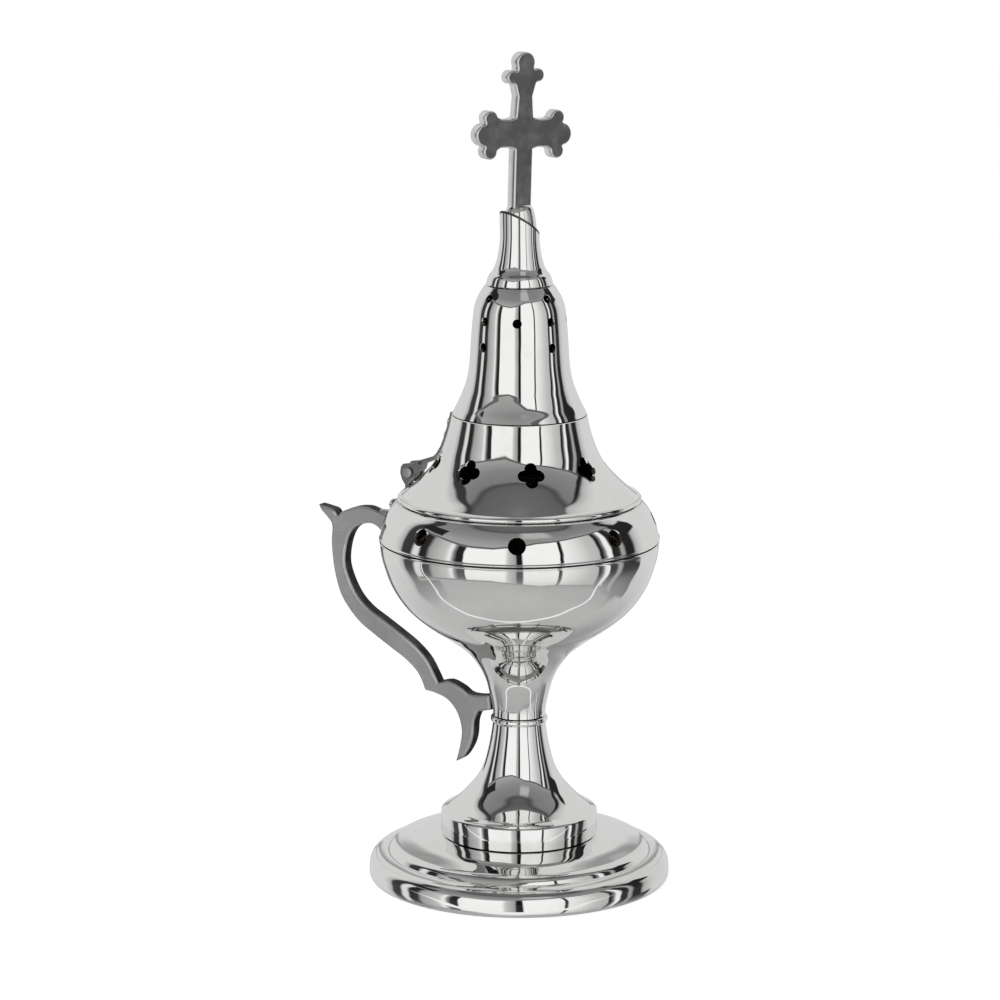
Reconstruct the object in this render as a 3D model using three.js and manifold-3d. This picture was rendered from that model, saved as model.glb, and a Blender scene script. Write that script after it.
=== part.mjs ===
// Standing hand censer of nickel-plated brass: a round stepped foot, a trumpet stem, a goblet
// bowl with a pierced gallery ring, and a hinged, pierced lid that ends in a spire and a cross.
// Millimetres, +Z up. The origin is on the turning axis at the face that the censer stands on.
// The scroll handle and the lid's hinge lie on the -X side.
import * as THREE from 'three';
import Module from 'manifold-3d';
import { mergeVertices } from 'three/examples/jsm/utils/BufferGeometryUtils.js';

const wasm = await Module();
wasm.setup();

// Driving dimensions. Heights are drawn from a datum just above the face that the censer stands on
const DATUM = 0.8;            // height of that datum
const FOOT_R = 43.3;          // outer rim of the foot
const SEAT_Z = 12.2;          // where the stem stands on the foot
const STEM_R = 22.5;          // drum at the bottom of the stem
const STEM_TOP = 46.7;        // seam between the stem and the bowl's neck
const BOWL_Z = 98.5;          // seam between the bowl and the gallery ring
const BOWL_R = 39.9;          // widest radius, at that seam
const MOUTH_Z = 109.6;        // top edge of the gallery ring, where the lid opens
const MOUTH_R = 32.5;         // clear radius of the mouth
const DOME_Z = 134.4;         // seam between the lid's dome and its spire
const SPIRE_Z = 171.4;        // seam between the spire and the neck
const CROSS_Z = 213.6;        // centre of the cross
const WALL = 1.7;             // spun brass wall
const GAP = 0.3;              // clearance between parts that meet
const ROD_R = 3;              // M6 tie rod
const PIVOT = [34.5, 115];    // hinge pin: distance from the axis, height
const AIR_HOLES = { count: 8, r: 2.5, z: 104.6, first: -64 };
const LEAF_HOLES = { count: 8, z: 121, first: -55, left_out: 170 };
const SPIRE_HOLES = { r: 1.35, triple: -21, single: -66, z: [154.9, 162.2, 168.9] };
const CROSS_TURN = 57;        // angle of the cross's arms from +X
const CROSS_LEAN = 1.7;       // lean of the cross along its arms
const HANDLE_T = 4.4;         // thickness of the cast handle

const rad = THREE.MathUtils.degToRad;
const V = (r, z) => new THREE.Vector2(r, z);
const line = (...pts) => pts.map(([r, z]) => V(r, z));
const smooth = (pts, n) => new THREE.SplineCurve(line(...pts)).getPoints(n);

// Closed body from a three.js geometry
function solid(geometry) {
  const g = geometry.index ? geometry.toNonIndexed() : geometry;
  g.deleteAttribute('normal');
  g.deleteAttribute('uv');
  const m = mergeVertices(g, 1e-4);
  const tri = [];
  const idx = m.index.array;
  for (let i = 0; i < idx.length; i += 3) {
    const [a, b, c] = [idx[i], idx[i + 1], idx[i + 2]];
    if (a !== b && b !== c && c !== a) tri.push(a, b, c);
  }
  return new wasm.Manifold(new wasm.Mesh({
    numProp: 3,
    vertProperties: new Float32Array(m.attributes.position.array),
    triVerts: new Uint32Array(tri),
  }));
}

// Mesh from a closed body
function mesh(name, body, look) {
  const m = body.translate([0, 0, DATUM]).getMesh();
  const g = new THREE.BufferGeometry();
  g.setAttribute('position', new THREE.BufferAttribute(new Float32Array(m.vertProperties), 3));
  g.setIndex(new THREE.BufferAttribute(new Uint32Array(m.triVerts), 1));
  g.computeVertexNormals();
  const out = new THREE.Mesh(g, look);
  out.name = name;
  return out;
}

// Body turned about Z from a closed outline of (radius, height) points
function turned(outline, segments = 32) {
  const pts = THREE.ShapeUtils.area(outline) > 0 ? [...outline] : [...outline].reverse();
  if (pts[0].x > 1e-6 || pts.at(-1).x > 1e-6) pts.push(pts[0].clone());
  return solid(new THREE.LatheGeometry(pts, segments).rotateX(Math.PI / 2));
}

// The same outline, moved inwards by the thickness of the wall
function inset(outer, wall) {
  return outer.map((p, i) => {
    const a = outer[Math.max(i - 1, 0)];
    const b = outer[Math.min(i + 1, outer.length - 1)];
    const t = b.clone().sub(a).normalize();
    return V(p.x - wall * t.y, p.y + wall * t.x);
  });
}

// Every second point of a curve, with both its ends
const coarse = (pts) => pts.filter((p, i) => i % 2 === 0 || i === pts.length - 1);

// Puts a geometry whose axis is X on a turned wall: out by r, up by z, tipped up, round by azimuth
function onWall(geometry, r, z, tip, azimuth) {
  return geometry.rotateY(-rad(tip)).translate(r, 0, z).rotateZ(rad(azimuth));
}
const rodX = (r, length, sides = 12) => new THREE.CylinderGeometry(r, r, length, sides).rotateZ(-Math.PI / 2);
const largest = (body) => body.decompose().sort((a, b) => b.volume() - a.volume())[0];
const cut = (body, cutters) => largest(cutters.reduce((b, c) => b.subtract(c), body));
const hexNut = (flats, bore, z0, z1) => {
  const nut = new THREE.CylinderGeometry(flats / Math.sqrt(3), flats / Math.sqrt(3), z1 - z0, 6);
  const hole = new THREE.CylinderGeometry(bore, bore, z1 - z0 + 2, 12);
  for (const g of [nut, hole]) g.rotateX(Math.PI / 2).translate(0, 0, (z0 + z1) / 2);
  return solid(nut).subtract(solid(hole));
};
const ring = (r0, r1, z0, z1, n = 16) => turned(line([r0, z0], [r1, z0], [r1, z1], [r0, z1]), n);

// Upright plate on the XZ plane from an outline, centred on y
function plate(shape, thickness, y = 0, steps = 12) {
  const g = new THREE.ExtrudeGeometry(shape, { depth: thickness, bevelEnabled: false, curveSegments: steps });
  return solid(g.rotateX(Math.PI / 2).translate(0, y + thickness / 2, 0));
}
const polygon = (...pts) => new THREE.Shape(pts.map(([rho, z]) => V(-rho, z)));

// Rivet along X through a wall: shank with a round head at each end
function rivet(shank, head, inner, outer) {
  const pts = [V(0, inner - 0.9), V(head * 0.7, inner - 0.7), V(head, inner), V(shank, inner),
    V(shank, outer), V(head, outer), V(head * 0.7, outer + 0.7), V(0, outer + 0.9)];
  return new THREE.LatheGeometry(pts, 8).rotateZ(-Math.PI / 2);
}

// Looks
const metal = (color, roughness) => new THREE.MeshStandardMaterial({ color, roughness, metalness: 1 });
const nickel = metal(0xc9c9c6, 0.12);
const nickelCast = metal(0xbdbdba, 0.2);
const brass = metal(0xb9a066, 0.3);
const steel = metal(0x8f9194, 0.35);
const felt = new THREE.MeshStandardMaterial({ color: 0x1f3b2a, roughness: 0.95, metalness: 0 });

const part = new THREE.Group();
part.name = 'censer';
const add = (name, body, look) => part.add(mesh(name, body, look));

// Foot: a shell with a rounded rim, a shallow slope, a coved step and a low dome
const footOuter = line([41.7, -0.5], [42.8, -0.5], [FOOT_R - 0.1, 0.1], [FOOT_R, 1.6], [43.1, 3.6], [42.6, 5.1],
  [41.7, 6], [40.4, 6.5], [37.9, 7.1], [37.3, 7.5], [36.5, 8.7], [35, 9.6], [30, 10.7], [26, 11.3], [22.8, SEAT_Z - GAP]);
const footInner = line([3.5, SEAT_Z - GAP], [3.5, 10.1], [22, 10], [30, 9], [33.8, 8], [35.6, 6.2], [39.4, 5],
  [40.8, 3.9], [40.9, 0.8], [41.7, 0.8]);
add('foot', turned([...footOuter, ...footInner]), nickel);
add('base_felt', turned(line([0, -0.8], [41, -0.8], [41.4, -0.4], [41.4, 0.5], [0, 0.5])), felt);
add('foot_washer', ring(3.4, 9, 8.3, 9.8), steel);
add('foot_nut', hexNut(10, 3.3, 3, 8), steel);
add('tie_rod', turned(line([0, 1.8], [ROD_R - 0.4, 1.8], [ROD_R, 2.2], [ROD_R, 69], [ROD_R - 0.4, 69.4],
  [0, 69.4]), 12), steel);

// Stem: drum, trumpet and a collar at the seam, hollow under a thick top
const trumpet = smooth([[20, 20.1], [17.4, 22.2], [15.2, 24.5], [12.6, 27.6], [10.45, 31.5], [9.05, 36.2],
  [8.1, 41], [7.6, 44.8]], 8);
const stemOuter = [...line([STEM_R, SEAT_Z], [STEM_R, 18.7], [21.3, 19.5]), ...trumpet,
  ...line([8.1, 45.3], [8.2, 46], [7.8, STEM_TOP])];
const stemInner = [...line([STEM_R - 1.8, SEAT_Z], [STEM_R - 1.8, 17.1]), ...coarse(inset(trumpet, 1.8))];
add('stem', turned([...stemOuter, V(3.3, STEM_TOP), V(3.3, 43.4), ...stemInner.reverse()], 24), nickel);

// Bowl: neck and goblet in one spun wall, with a floor that the tie rod pulls down
const bowlOuter = smooth([[7.5, STEM_TOP + GAP], [7.7, 49.5], [8.7, 54], [9.9, 58], [12, 62], [15.3, 66], [20.5, 70],
  [26.4, 74], [31.2, 78], [34.5, 82], [36.8, 86], [38.3, 90], [39.4, 94], [BOWL_R, BOWL_Z - 0.1]], 12);
const goblet = coarse(inset(bowlOuter, WALL).filter((p) => p.y > 64.5));
const neckBore = line([9.3, 60.5], [8, 57], [6.9, 54], [6, 50], [5.8, STEM_TOP + GAP]);
let bowl = turned([...bowlOuter, V(BOWL_R - 1.5, BOWL_Z - 0.1), ...goblet.reverse(),
  V(11, 63.5), V(3.3, 63.5), V(3.3, 60.5), ...neckBore]);
const dowelZ = 49.9;
bowl = bowl.subtract(solid(rodX(1.5, 6).translate(-7, 0, dowelZ)));
add('bowl', bowl, nickel);
add('bowl_washer', ring(3.4, 8, 63.8, 65), steel);
add('bowl_nut', hexNut(10, 3.3, 65.3, 68.5), steel);

// Gallery ring: round air holes, a lip that drops into the bowl, and the mouth
const ringOuter = smooth([[BOWL_R, BOWL_Z + 0.2], [39.5, 100.5], [38.8, 103], [37.7, 105.6], [36.5, 107.6], [34.9, 109.3]], 4);
const ringInner = line([MOUTH_R, MOUTH_Z], [MOUTH_R, 109], [35.1, 106.4], [37, 102.8], [37.8, 99.5],
  [36.4, 98.5], [36.4, 95.9], [37.5, 95.9], [37.7, BOWL_Z + 0.2]);
let gallery = turned([...ringOuter, V(34.5, MOUTH_Z), ...ringInner]);
const air = [];
for (let i = 0; i < AIR_HOLES.count; i++) {
  air.push(solid(onWall(rodX(AIR_HOLES.r, 8, 10), 38, AIR_HOLES.z, 22, AIR_HOLES.first + i * 360 / AIR_HOLES.count)));
}
const SCREW = { r: 2, z: 100.9 };
air.push(solid(rodX(SCREW.r + GAP, 8).translate(-38, 0, SCREW.z)));
const BRACKET_RIVETS = [-4.4, 4.4].map((a) => ({ r: 38, z: 104.9, tip: 24, azimuth: 180 + a }));
for (const b of BRACKET_RIVETS) air.push(solid(onWall(rodX(1.25, 9), b.r, b.z, b.tip, b.azimuth)));
gallery = cut(gallery, air);
add('gallery_ring', gallery, nickel);

// Charcoal cup, loose in the bowl
const cupOuter = line([0, 71.6], [19.3, 71.6], [21.6, 73.7], [25.6, 82], [28.4, 92], [28.9, 95], [30.2, 95.4], [30.4, 96], [30.1, 96.6]);
const cupInner = line([27.9, 96.4], [27.3, 95.2], [26.9, 92], [24.2, 82.6], [20.5, 74.9], [18.8, 73.1], [0, 73.1]);
add('charcoal_cup', turned([...cupOuter, ...cupInner], 24), brass);

// Handle: a flat casting with a thumb rest above and a leaf tail below
const edge = new THREE.Shape();
const P = (rho, z) => V(-rho, z);
edge.moveTo(-39, 103.3);
edge.splineThru([P(41.3, 101.9), P(43.3, 101.8), P(47.7, 103.2), P(50.3, 103.3), P(53, 102.8), P(56.6, 101.5), P(58.6, 100.1)]);
edge.splineThru([P(59.7, 101.5), P(62, 102.1), P(64.9, 102.6)]);
edge.splineThru([P(63.9, 100.9), P(61.9, 99), P(60.5, 96.8), P(60.7, 91.4), P(59.9, 84), P(58, 77.2), P(55.1, 72.6),
  P(51.2, 68.6), P(46.5, 65.5), P(41.2, 62.3), P(36.2, 59.3), P(32.6, 56.2), P(30.9, 53.5), P(29.8, 50.8)]);
edge.splineThru([P(26.4, 50.3), P(22.4, 48.8), P(19.4, 45.5), P(17.9, 40.8), P(18.2, 36.6), P(19.7, 30.7)]);
edge.splineThru([P(17.2, 32.2), P(15, 35.6), P(13.9, 39), P(13.5, 43.4), P(12.3, 46.4)]);
edge.lineTo(-8.1, 47.5);
edge.lineTo(-8.6, 51.7);
edge.splineThru([P(12.3, 51.2), P(15.4, 51.4), P(18, 53), P(21.9, 54.4), P(25.4, 53.7)]);
edge.splineThru([P(26.4, 55.6), P(29.2, 60.2), P(33.4, 64.1), P(38, 67.1), P(43.5, 70.4), P(48.4, 73.3),
  P(51.9, 76.6), P(54.4, 80.8), P(55.9, 85), P(56, 88.6), P(55, 93.2), P(53.2, 96.4), P(50.4, 98.1), P(47.6, 98.6), P(45.3, 97.8),
  P(43.4, 96), P(41.8, 94.6), P(39.9, 93.8)]);
edge.lineTo(-40.3, 98.6);
edge.lineTo(-39.9, 100.6);
let handle = plate(edge, HANDLE_T, 0, 2);
handle = cut(handle, [solid(rodX(SCREW.r + GAP, 9).translate(-42.4, 0, SCREW.z)),
  solid(rodX(1.5, 8).translate(-9.5, 0, dowelZ))]);
add('handle', handle, nickelCast);
const screw = line([0, 0], [2.6, 0], [3, 0.4], [3, 2], [SCREW.r, 2], [SCREW.r, 11], [0, 11]);
add('handle_screw', solid(new THREE.LatheGeometry(screw, 12).rotateZ(Math.PI / 2).translate(-34, 0, SCREW.z)), steel);
add('handle_dowel', solid(rodX(1.2, 6).translate(-9.4, 0, dowelZ)), steel);

// Hinge bracket: a pad riveted to the gallery ring, and a tongue with the eye for the pin. The
// tongue's heel stops the open lid.
const padPts = [...inset(ringOuter, -1.5), ...inset(ringOuter, -0.3).reverse()];
const box = (x0, x1, y0, y1, z0, z1) => solid(new THREE.BoxGeometry(x1 - x0, y1 - y0, z1 - z0)
  .translate((x0 + x1) / 2, (y0 + y1) / 2, (z0 + z1) / 2));
const eye = (r, width) => solid(new THREE.CylinderGeometry(r, r, width, 16).translate(-PIVOT[0], 0, PIVOT[1]));
let bracket = turned(padPts).intersect(box(-50, -20, -4.7, 4.7, 103.6, 107.2));
bracket = bracket.add(plate(polygon([37.4, 107.2], [35.3, 109.5], [35, 110], [35, 111.6], [33.6, 113.4], [34.5, 116],
  [36, 115], [37.4, 114.6], [37.4, 112.9], [36.3, 111.4], [36.3, 110.2], [38.1, 107.4], [38.2, 106.6]), 3, 0));
bracket = bracket.add(eye(2.1, 3));
bracket = cut(bracket, [eye(1.3, 20), ...BRACKET_RIVETS.map((b) => solid(onWall(rodX(1.25, 9), b.r, b.z, b.tip, b.azimuth)))]);
add('hinge_bracket', bracket, nickelCast);
BRACKET_RIVETS.forEach((b, i) => add(`bracket_rivet_${i + 1}`,
  solid(onWall(rivet(0.95, 1.4, -2.3, 1.9), b.r, b.z, b.tip, b.azimuth)), nickel));
const pin = [V(0, -3.9), V(1.1, -3.8), V(1.6, -3.4), V(1.6, -3.15), V(1, -3.15), V(1, 3.15), V(1.6, 3.15), V(1.6, 3.4), V(1.1, 3.8), V(0, 3.9)];
add('hinge_pin', solid(new THREE.LatheGeometry(pin, 12).translate(-PIVOT[0], 0, PIVOT[1])), steel);

// Lid dome: rolled rim, flare, and quatrefoil smoke holes
const flare = smooth([[32.9, 111.7], [30.3, 113.9], [28, 116.1], [26, 118.2], [24.4, 120.2], [22.9, 122.6], [21.7, 125.2],
  [20.4, 129], [19.5, 132.6], [19.2, DOME_Z]], 7);
const domeRim = line([31.8, MOUTH_Z + GAP], [34.1, MOUTH_Z + GAP], [34.6, 110.3], [34.6, 110.9], [34, 111.4]);
let dome = turned([...domeRim, ...flare, ...coarse(inset(flare, 1.5)).reverse(), V(31.8, 111)], 28);
function quatrefoil(c, q, depth) {
  const s = new THREE.Shape();
  for (let k = 0; k < 4; k++) {
    const a = k * Math.PI / 2;
    s.absarc(c * Math.cos(a), c * Math.sin(a), q, a - 1.8, a + 1.8);
  }
  return new THREE.ExtrudeGeometry(s, { depth, bevelEnabled: false, curveSegments: 3 }).translate(0, 0, -depth / 2).rotateY(Math.PI / 2);
}
const leaves = [];
for (let i = 0; i < LEAF_HOLES.count; i++) {
  const azimuth = LEAF_HOLES.first + i * 360 / LEAF_HOLES.count;
  if (azimuth === LEAF_HOLES.left_out) continue;
  leaves.push(solid(onWall(quatrefoil(2.1, 1.75, 9), 23.2, LEAF_HOLES.z, 32, azimuth)));
}
const STRAP_RIVETS = [{ r: 21.2, z: 126.2, tip: 22 }, { r: 20.1, z: 130.2, tip: 14 }];
for (const s of STRAP_RIVETS) leaves.push(solid(onWall(rodX(1.25, 8), s.r, s.z, s.tip, 180)));
dome = cut(dome, leaves);
add('lid_dome', dome, nickel);
add('lid_spigot', turned(line([30.3, 106.9], [31.1, 106.9], [31.4, 107.3], [31.4, 110.7], [30.2, 110.7])), nickel);

// Hinge strap: a plate on the dome, a thin arm and two cheeks that straddle the bracket's eye
const back = flare.filter((p) => p.y > 118);
const strapPts = [...inset(back, -1.5), ...inset(back, -0.35).reverse()];
let strap = turned(strapPts, 40).intersect(box(-50, -10, -3.2, 3.2, 122, 133.8));
strap = strap.add(plate(polygon([32.6, 118.2], [26.8, 120.2], [24.3, 122.9], [23.8, 122.5], [24.8, 120.9],
  [26.9, 118.9], [31, 117.2], [32.6, 116.8]), 4, 0));
for (const s of [-1, 1]) {
  strap = strap.add(plate(polygon([32.9, 117.9], [36.1, 117.4], [36.8, 116.5], [37, 114.8], [36.5, 113], [35.6, 111.6],
    [34.2, 111.6], [32.3, 113.6], [32.1, 117.2]), 1.2, s * 2.4));
}
strap = strap.add(plate(polygon([32, 118.2], [32.3, 117.7], [32.3, 115.2], [31.7, 115.2], [31, 117.4], [31, 118.2]), 6, 0));
strap = cut(strap, [eye(1.3, 20), eye(2.45, 3.5),
  ...STRAP_RIVETS.map((s) => solid(onWall(rodX(1.25, 8), s.r, s.z, s.tip, 180))),
]);
add('hinge_strap', strap, nickelCast);
STRAP_RIVETS.forEach((s, i) => add(`strap_rivet_${i + 1}`,
  solid(onWall(rivet(0.95, 1.7, -2, 2.1), s.r, s.z, s.tip, 180)), nickel));

// Lid spire: small round holes in columns, and a lip that drops into the dome
const tower = smooth([[19.2, DOME_Z + GAP], [18.3, 136.2], [17.2, 138.4], [16.1, 141], [15.1, 143.8], [14.4, 147.2], [14, 151],
  [13.7, 156], [13.3, 161], [12.8, 165], [11.9, 167.8], [10.8, 169.8], [9.7, SPIRE_Z]], 9);
const towerInner = coarse(inset(tower, 1.4));
towerInner[0] = V(17.6, DOME_Z + GAP + 1.5);
towerInner[towerInner.length - 1] = V(8.3, SPIRE_Z);
let spire = turned([...tower, ...towerInner.reverse(), V(16.2, DOME_Z + 0.2), V(16.2, 132.4), V(17.3, 132.4), V(17.4, DOME_Z + GAP)], 24);
const small = [];
for (let i = 0; i < 4; i++) {
  for (const z of SPIRE_HOLES.z) {
    const top = z > 165;
    const g = rodX(SPIRE_HOLES.r, 6, 6);
    small.push(solid(onWall(g, top ? 11.3 : 13.4, z, top ? 35 : 4, SPIRE_HOLES.triple + i * 90)));
  }
  small.push(solid(onWall(rodX(SPIRE_HOLES.r, 6, 6), 13.2, SPIRE_HOLES.z[1], 4, SPIRE_HOLES.single + i * 90)));
}
spire = cut(spire, small);
add('lid_spire', spire, nickel);

// Neck: waisted sleeve, its rim cut on a slant
const sleeve = smooth([[9.5, SPIRE_Z + GAP], [8.1, 174], [7, 176.6], [6.2, 179.4], [5.75, 182.2], [5.55, 185], [5.6, 189], [5.6, 193]], 6);
let neck = turned([...sleeve, V(5.05, 193), V(5.05, 183.6), V(2.3, 183.6), V(2.3, 169.4), V(7.8, 169.4), V(7.8, SPIRE_Z + GAP)], 20);
const slant = new THREE.BoxGeometry(40, 40, 20).translate(0, 0, 10).rotateY(-rad(34)).rotateZ(rad(-114.6))
  .translate(0, 0, 188.8);
neck = neck.subtract(solid(slant));
add('lid_neck', neck, nickel);

// Cross: budded arms, a round foot that seats in the neck, a stud and its nut
const arm = (x, z, r) => new THREE.CylinderGeometry(r, r, 4.2, 12).translate(x, 0, z);
const half = [[2.85, 192.5], [2.85, 209.6], [4.6, 210.1], [7.4, 210], [9.4, 208.6], [12.2, 211], [12.2, 217], [9.4, 219.4],
  [7.4, 218], [4.6, 217.9], [2.85, 218.4], [2.4, 224.2], [3.9, 228.4], [2.4, 232.6]];
let cross = plate(new THREE.Shape(line(...half, ...half.map(([x, z]) => [-x, z]).reverse())), 4.2, 0);
for (const s of [-1, 1]) {
  cross = cross.add(solid(arm(s * 12.1, CROSS_Z, 3.3)));
  for (const t of [-1, 1]) cross = cross.add(solid(arm(s * 10.7, CROSS_Z + t * 4.65, 2.2)));
  cross = cross.add(solid(arm(s * 4, 229.8 + s * 0.3, 2)));
}
cross = cross.add(solid(arm(0, 233.6, 3)));
cross = cross.translate([0, 0, -200]).rotate([0, CROSS_LEAN, 0]).translate([0, 0, 200]);
const boss = smooth([[4.7, 184], [4.75, 187], [4.5, 189.6], [4, 192], [3.2, 193.6], [2, 194.4]], 5);
cross = cross.add(turned([V(0, 184), ...boss, V(0, 194.4)], 16));
cross = cross.subtract(solid(new THREE.CylinderGeometry(2.3, 2.3, 12, 16).rotateX(Math.PI / 2).translate(0, 0, 184)));
const crossTurned = cross.rotate([0, 0, CROSS_TURN]);
add('cross', crossTurned, nickelCast);
add('cross_stud', turned(line([0, 163.6], [2, 163.6], [2, 189.6], [0, 189.6]), 12), steel);
add('cross_washer', ring(2.3, 5.5, 168, 169.1), steel);
add('cross_nut', hexNut(7, 2.3, 164.6, 167.7), steel);

export default part;
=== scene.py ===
# %% [markdown]
# # A standing hand censer in nickel-plated brass
# A censer of this kind is a stack of thin spun shells: foot, stem, bowl, gallery ring, and a lid
# of dome, spire and neck. One rod pulls the lower shells together. The handle, the hinge and the
# cross are castings. This lesson loads the measured solids first, and then dresses each of them
# with the finer form and the finish of the real thing, in metres, in the same place.

# %% Load the solids
import math

import bmesh
import bpy
import numpy as np
from mathutils import Euler, Matrix, Vector
from mathutils.geometry import delaunay_2d_cdt


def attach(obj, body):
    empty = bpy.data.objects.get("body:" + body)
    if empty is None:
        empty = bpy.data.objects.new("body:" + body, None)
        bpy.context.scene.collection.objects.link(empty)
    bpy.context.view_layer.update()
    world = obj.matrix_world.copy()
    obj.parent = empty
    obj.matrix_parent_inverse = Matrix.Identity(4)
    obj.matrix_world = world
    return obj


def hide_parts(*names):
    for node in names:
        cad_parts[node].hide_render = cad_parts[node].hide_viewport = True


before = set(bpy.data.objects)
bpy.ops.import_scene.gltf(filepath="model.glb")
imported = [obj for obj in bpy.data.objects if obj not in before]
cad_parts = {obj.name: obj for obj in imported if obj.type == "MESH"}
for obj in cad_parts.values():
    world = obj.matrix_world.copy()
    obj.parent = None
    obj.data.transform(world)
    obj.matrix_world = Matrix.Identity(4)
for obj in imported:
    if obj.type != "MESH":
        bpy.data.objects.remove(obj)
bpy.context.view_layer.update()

scene = bpy.context.scene

# %% [markdown]
# ## Sizes
# Heights are drawn in millimetres from a datum 0.8 mm above the table, because the foot's metal
# rim hangs a little over it. `row` turns a drawn radius and height into metres in the frame.

# %% Sizes
MM = 0.001
DATUM = 0.8
SEAT_Z, STEM_TOP, BOWL_Z, MOUTH_Z, DOME_Z, SPIRE_Z = 12.2, 46.7, 98.5, 109.6, 134.4, 171.4
STEM_WALL, BOWL_WALL, DOME_WALL, SPIRE_WALL = 1.8, 1.7, 1.5, 1.4
GAP = 0.3
PIVOT, PIN_HALF = (-34.5, 115.0), 3.35
RIM_Z, RIM_TURN, RIM_TILT = 188.8, -114.6, -34.0
CROSS_Z, CROSS_BASE, CROSS_TURN, CROSS_LEAN = 213.6, 200, 57.0, 1.7
HANDLE_T = 4.4
SCREW_Z, DOWEL_Z = 100.9, 49.9
BRACKET_TURNS = (-4.4, 4.4)
STRAP_SEATS = ((21.2, 126.2, 22), (20.1, 130.2, 14))


def row(x, y, z):
    """A drawn point in mm as a point of the frame in metres."""
    return (x * MM, y * MM, (z + DATUM) * MM)


def smooth(points, n):
    """Even Catmull-Rom curve through the points, with n spans."""
    pts = np.array(points, float)
    last, out = len(pts) - 1, []
    for u in np.linspace(0, last, n + 1):
        i = min(int(u), last)
        f = u - i
        p0, p1 = pts[max(i - 1, 0)], pts[i]
        p2, p3 = pts[min(i + 1, last)], pts[min(i + 2, last)]
        v0, v1 = (p2 - p0) / 2, (p3 - p1) / 2
        cubic, square = 2 * p1 - 2 * p2 + v0 + v1, -3 * p1 + 3 * p2 - 2 * v0 - v1
        out.append(cubic * f**3 + square * f * f + v0 * f + p1)
    return [tuple(p) for p in out]


def inset(points, wall):
    """The same line, moved inwards by the thickness of the wall."""
    p = np.array(points, float)
    t = np.gradient(p, axis=0)
    t /= np.linalg.norm(t, axis=1)[:, None]
    return [tuple(q) for q in p + wall * np.stack([-t[:, 1], t[:, 0]], 1)]


print("curve test:", len(smooth([(0, 0), (1, 2), (3, 3)], 12)), "points")

# %% [markdown]
# ## Studio and camera
# Polished metal has hardly a colour of its own: it shows the room. The room here is a pale
# studio with two white panels beside the camera, thin dark gaps between the panels, and a grey
# ceiling. It is drawn on the world by direction, so no stand or card hides the object from any
# side. The camera sees plain white.

# %% Camera
FRONT = math.radians(27.315)
camera = bpy.data.objects.new("camera", bpy.data.cameras.new("camera"))
scene.collection.objects.link(camera)
camera.location = (0.45508, -0.89315, 0.3147)
camera.rotation_euler = Euler((math.radians(78.483), 0, FRONT))
camera.data.lens = 129.57
camera.data.sensor_width = 36
camera.data.clip_start = 0.02
scene.camera = camera
print("camera is", round(camera.location.length, 3), "m from the foot")

# %% [markdown]
# Materials, the room and the shapes are all trees of nodes. `add` makes one node and hands back
# an output of it. Arithmetic on an output adds Math nodes, so a tree reads like a formula.


# %% Node helpers
class Out:
    """An output of a node. Arithmetic with it adds Math nodes to its tree."""

    def __init__(self, socket):
        self.socket, self.tree = socket, socket.id_data

    def pick(self, name):
        """Another output of the same node."""
        return Out(self.socket.node.outputs[name])

    def clamped(self):
        """The same value, kept between 0 and 1."""
        self.socket.node.use_clamp = True
        return self

    def __add__(self, other):
        return calc("ADD", self, other)

    def __sub__(self, other):
        return calc("SUBTRACT", self, other)

    def __rsub__(self, other):
        return calc("SUBTRACT", other, self)

    def __mul__(self, other):
        return calc("MULTIPLY", self, other)

    def __truediv__(self, other):
        return calc("DIVIDE", self, other)

    def __rtruediv__(self, other):
        return calc("DIVIDE", other, self)

    __radd__, __rmul__ = __add__, __mul__


def feed(socket, value):
    """Links an output to a socket, or sets the socket to a plain value."""
    if isinstance(value, Out):
        socket.id_data.links.new(value.socket, socket)
    elif value is not None:
        socket.default_value = value


def add(tree, kind, *values, output=0, **named):
    """A node, its sockets fed in order or by capitalised name. The other names are settings."""
    made = tree.nodes.new(kind)
    for key in [k for k in named if not k[0].isupper()]:
        setattr(made, key, named.pop(key))
    for socket, value in zip(made.inputs, values):
        feed(socket, value)
    for key, value in named.items():
        feed(made.inputs[key.replace("_", " ")], value)
    return Out(made.outputs[output]) if made.outputs else None


def tree_of(values):
    """The tree of the first output among these values."""
    return next(v.tree for v in values if isinstance(v, Out))


def calc(operation, *values):
    """A Math node. A value is a number or an output."""
    return add(tree_of(values), "ShaderNodeMath", *values, operation=operation)


def vector(operation, *values, **named):
    """A Vector Math node."""
    return add(tree_of(values), "ShaderNodeVectorMath", *values, operation=operation, **named)


def along(point, direction):
    """How far a point or direction lies along a fixed vector."""
    return vector("DOT_PRODUCT", point, direction, output="Value")


def combine(*parts):
    """A vector from numbers and outputs."""
    return add(tree_of(parts), "ShaderNodeCombineXYZ", *parts)


def split(point):
    """The three parts of a vector."""
    parts = add(point.tree, "ShaderNodeSeparateXYZ", point)
    return [parts.pick(k) for k in range(3)]


def polar(radius, angle, up=0):
    """The point at that radius, angle and height."""
    return combine(radius * calc("COSINE", angle), radius * calc("SINE", angle), up)


def ramp(factor, stops, mode="LINEAR"):
    """A Color Ramp with (position, grey or colour) stops."""
    made = add(factor.tree, "ShaderNodeValToRGB", factor)
    band = made.socket.node.color_ramp
    band.interpolation = mode
    while len(band.elements) < len(stops):
        band.elements.new(0.5)
    for element, (position, value) in zip(band.elements, stops):
        element.position = position
        colour = (value,) * 3 if isinstance(value, (int, float)) else value
        element.color = (*colour, 1)
    return made


def mix_shaders(factor, a, b):
    """Shader a where the factor is 0, b where it is 1."""
    return add(a.tree, "ShaderNodeMixShader", factor, a, b)


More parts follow.
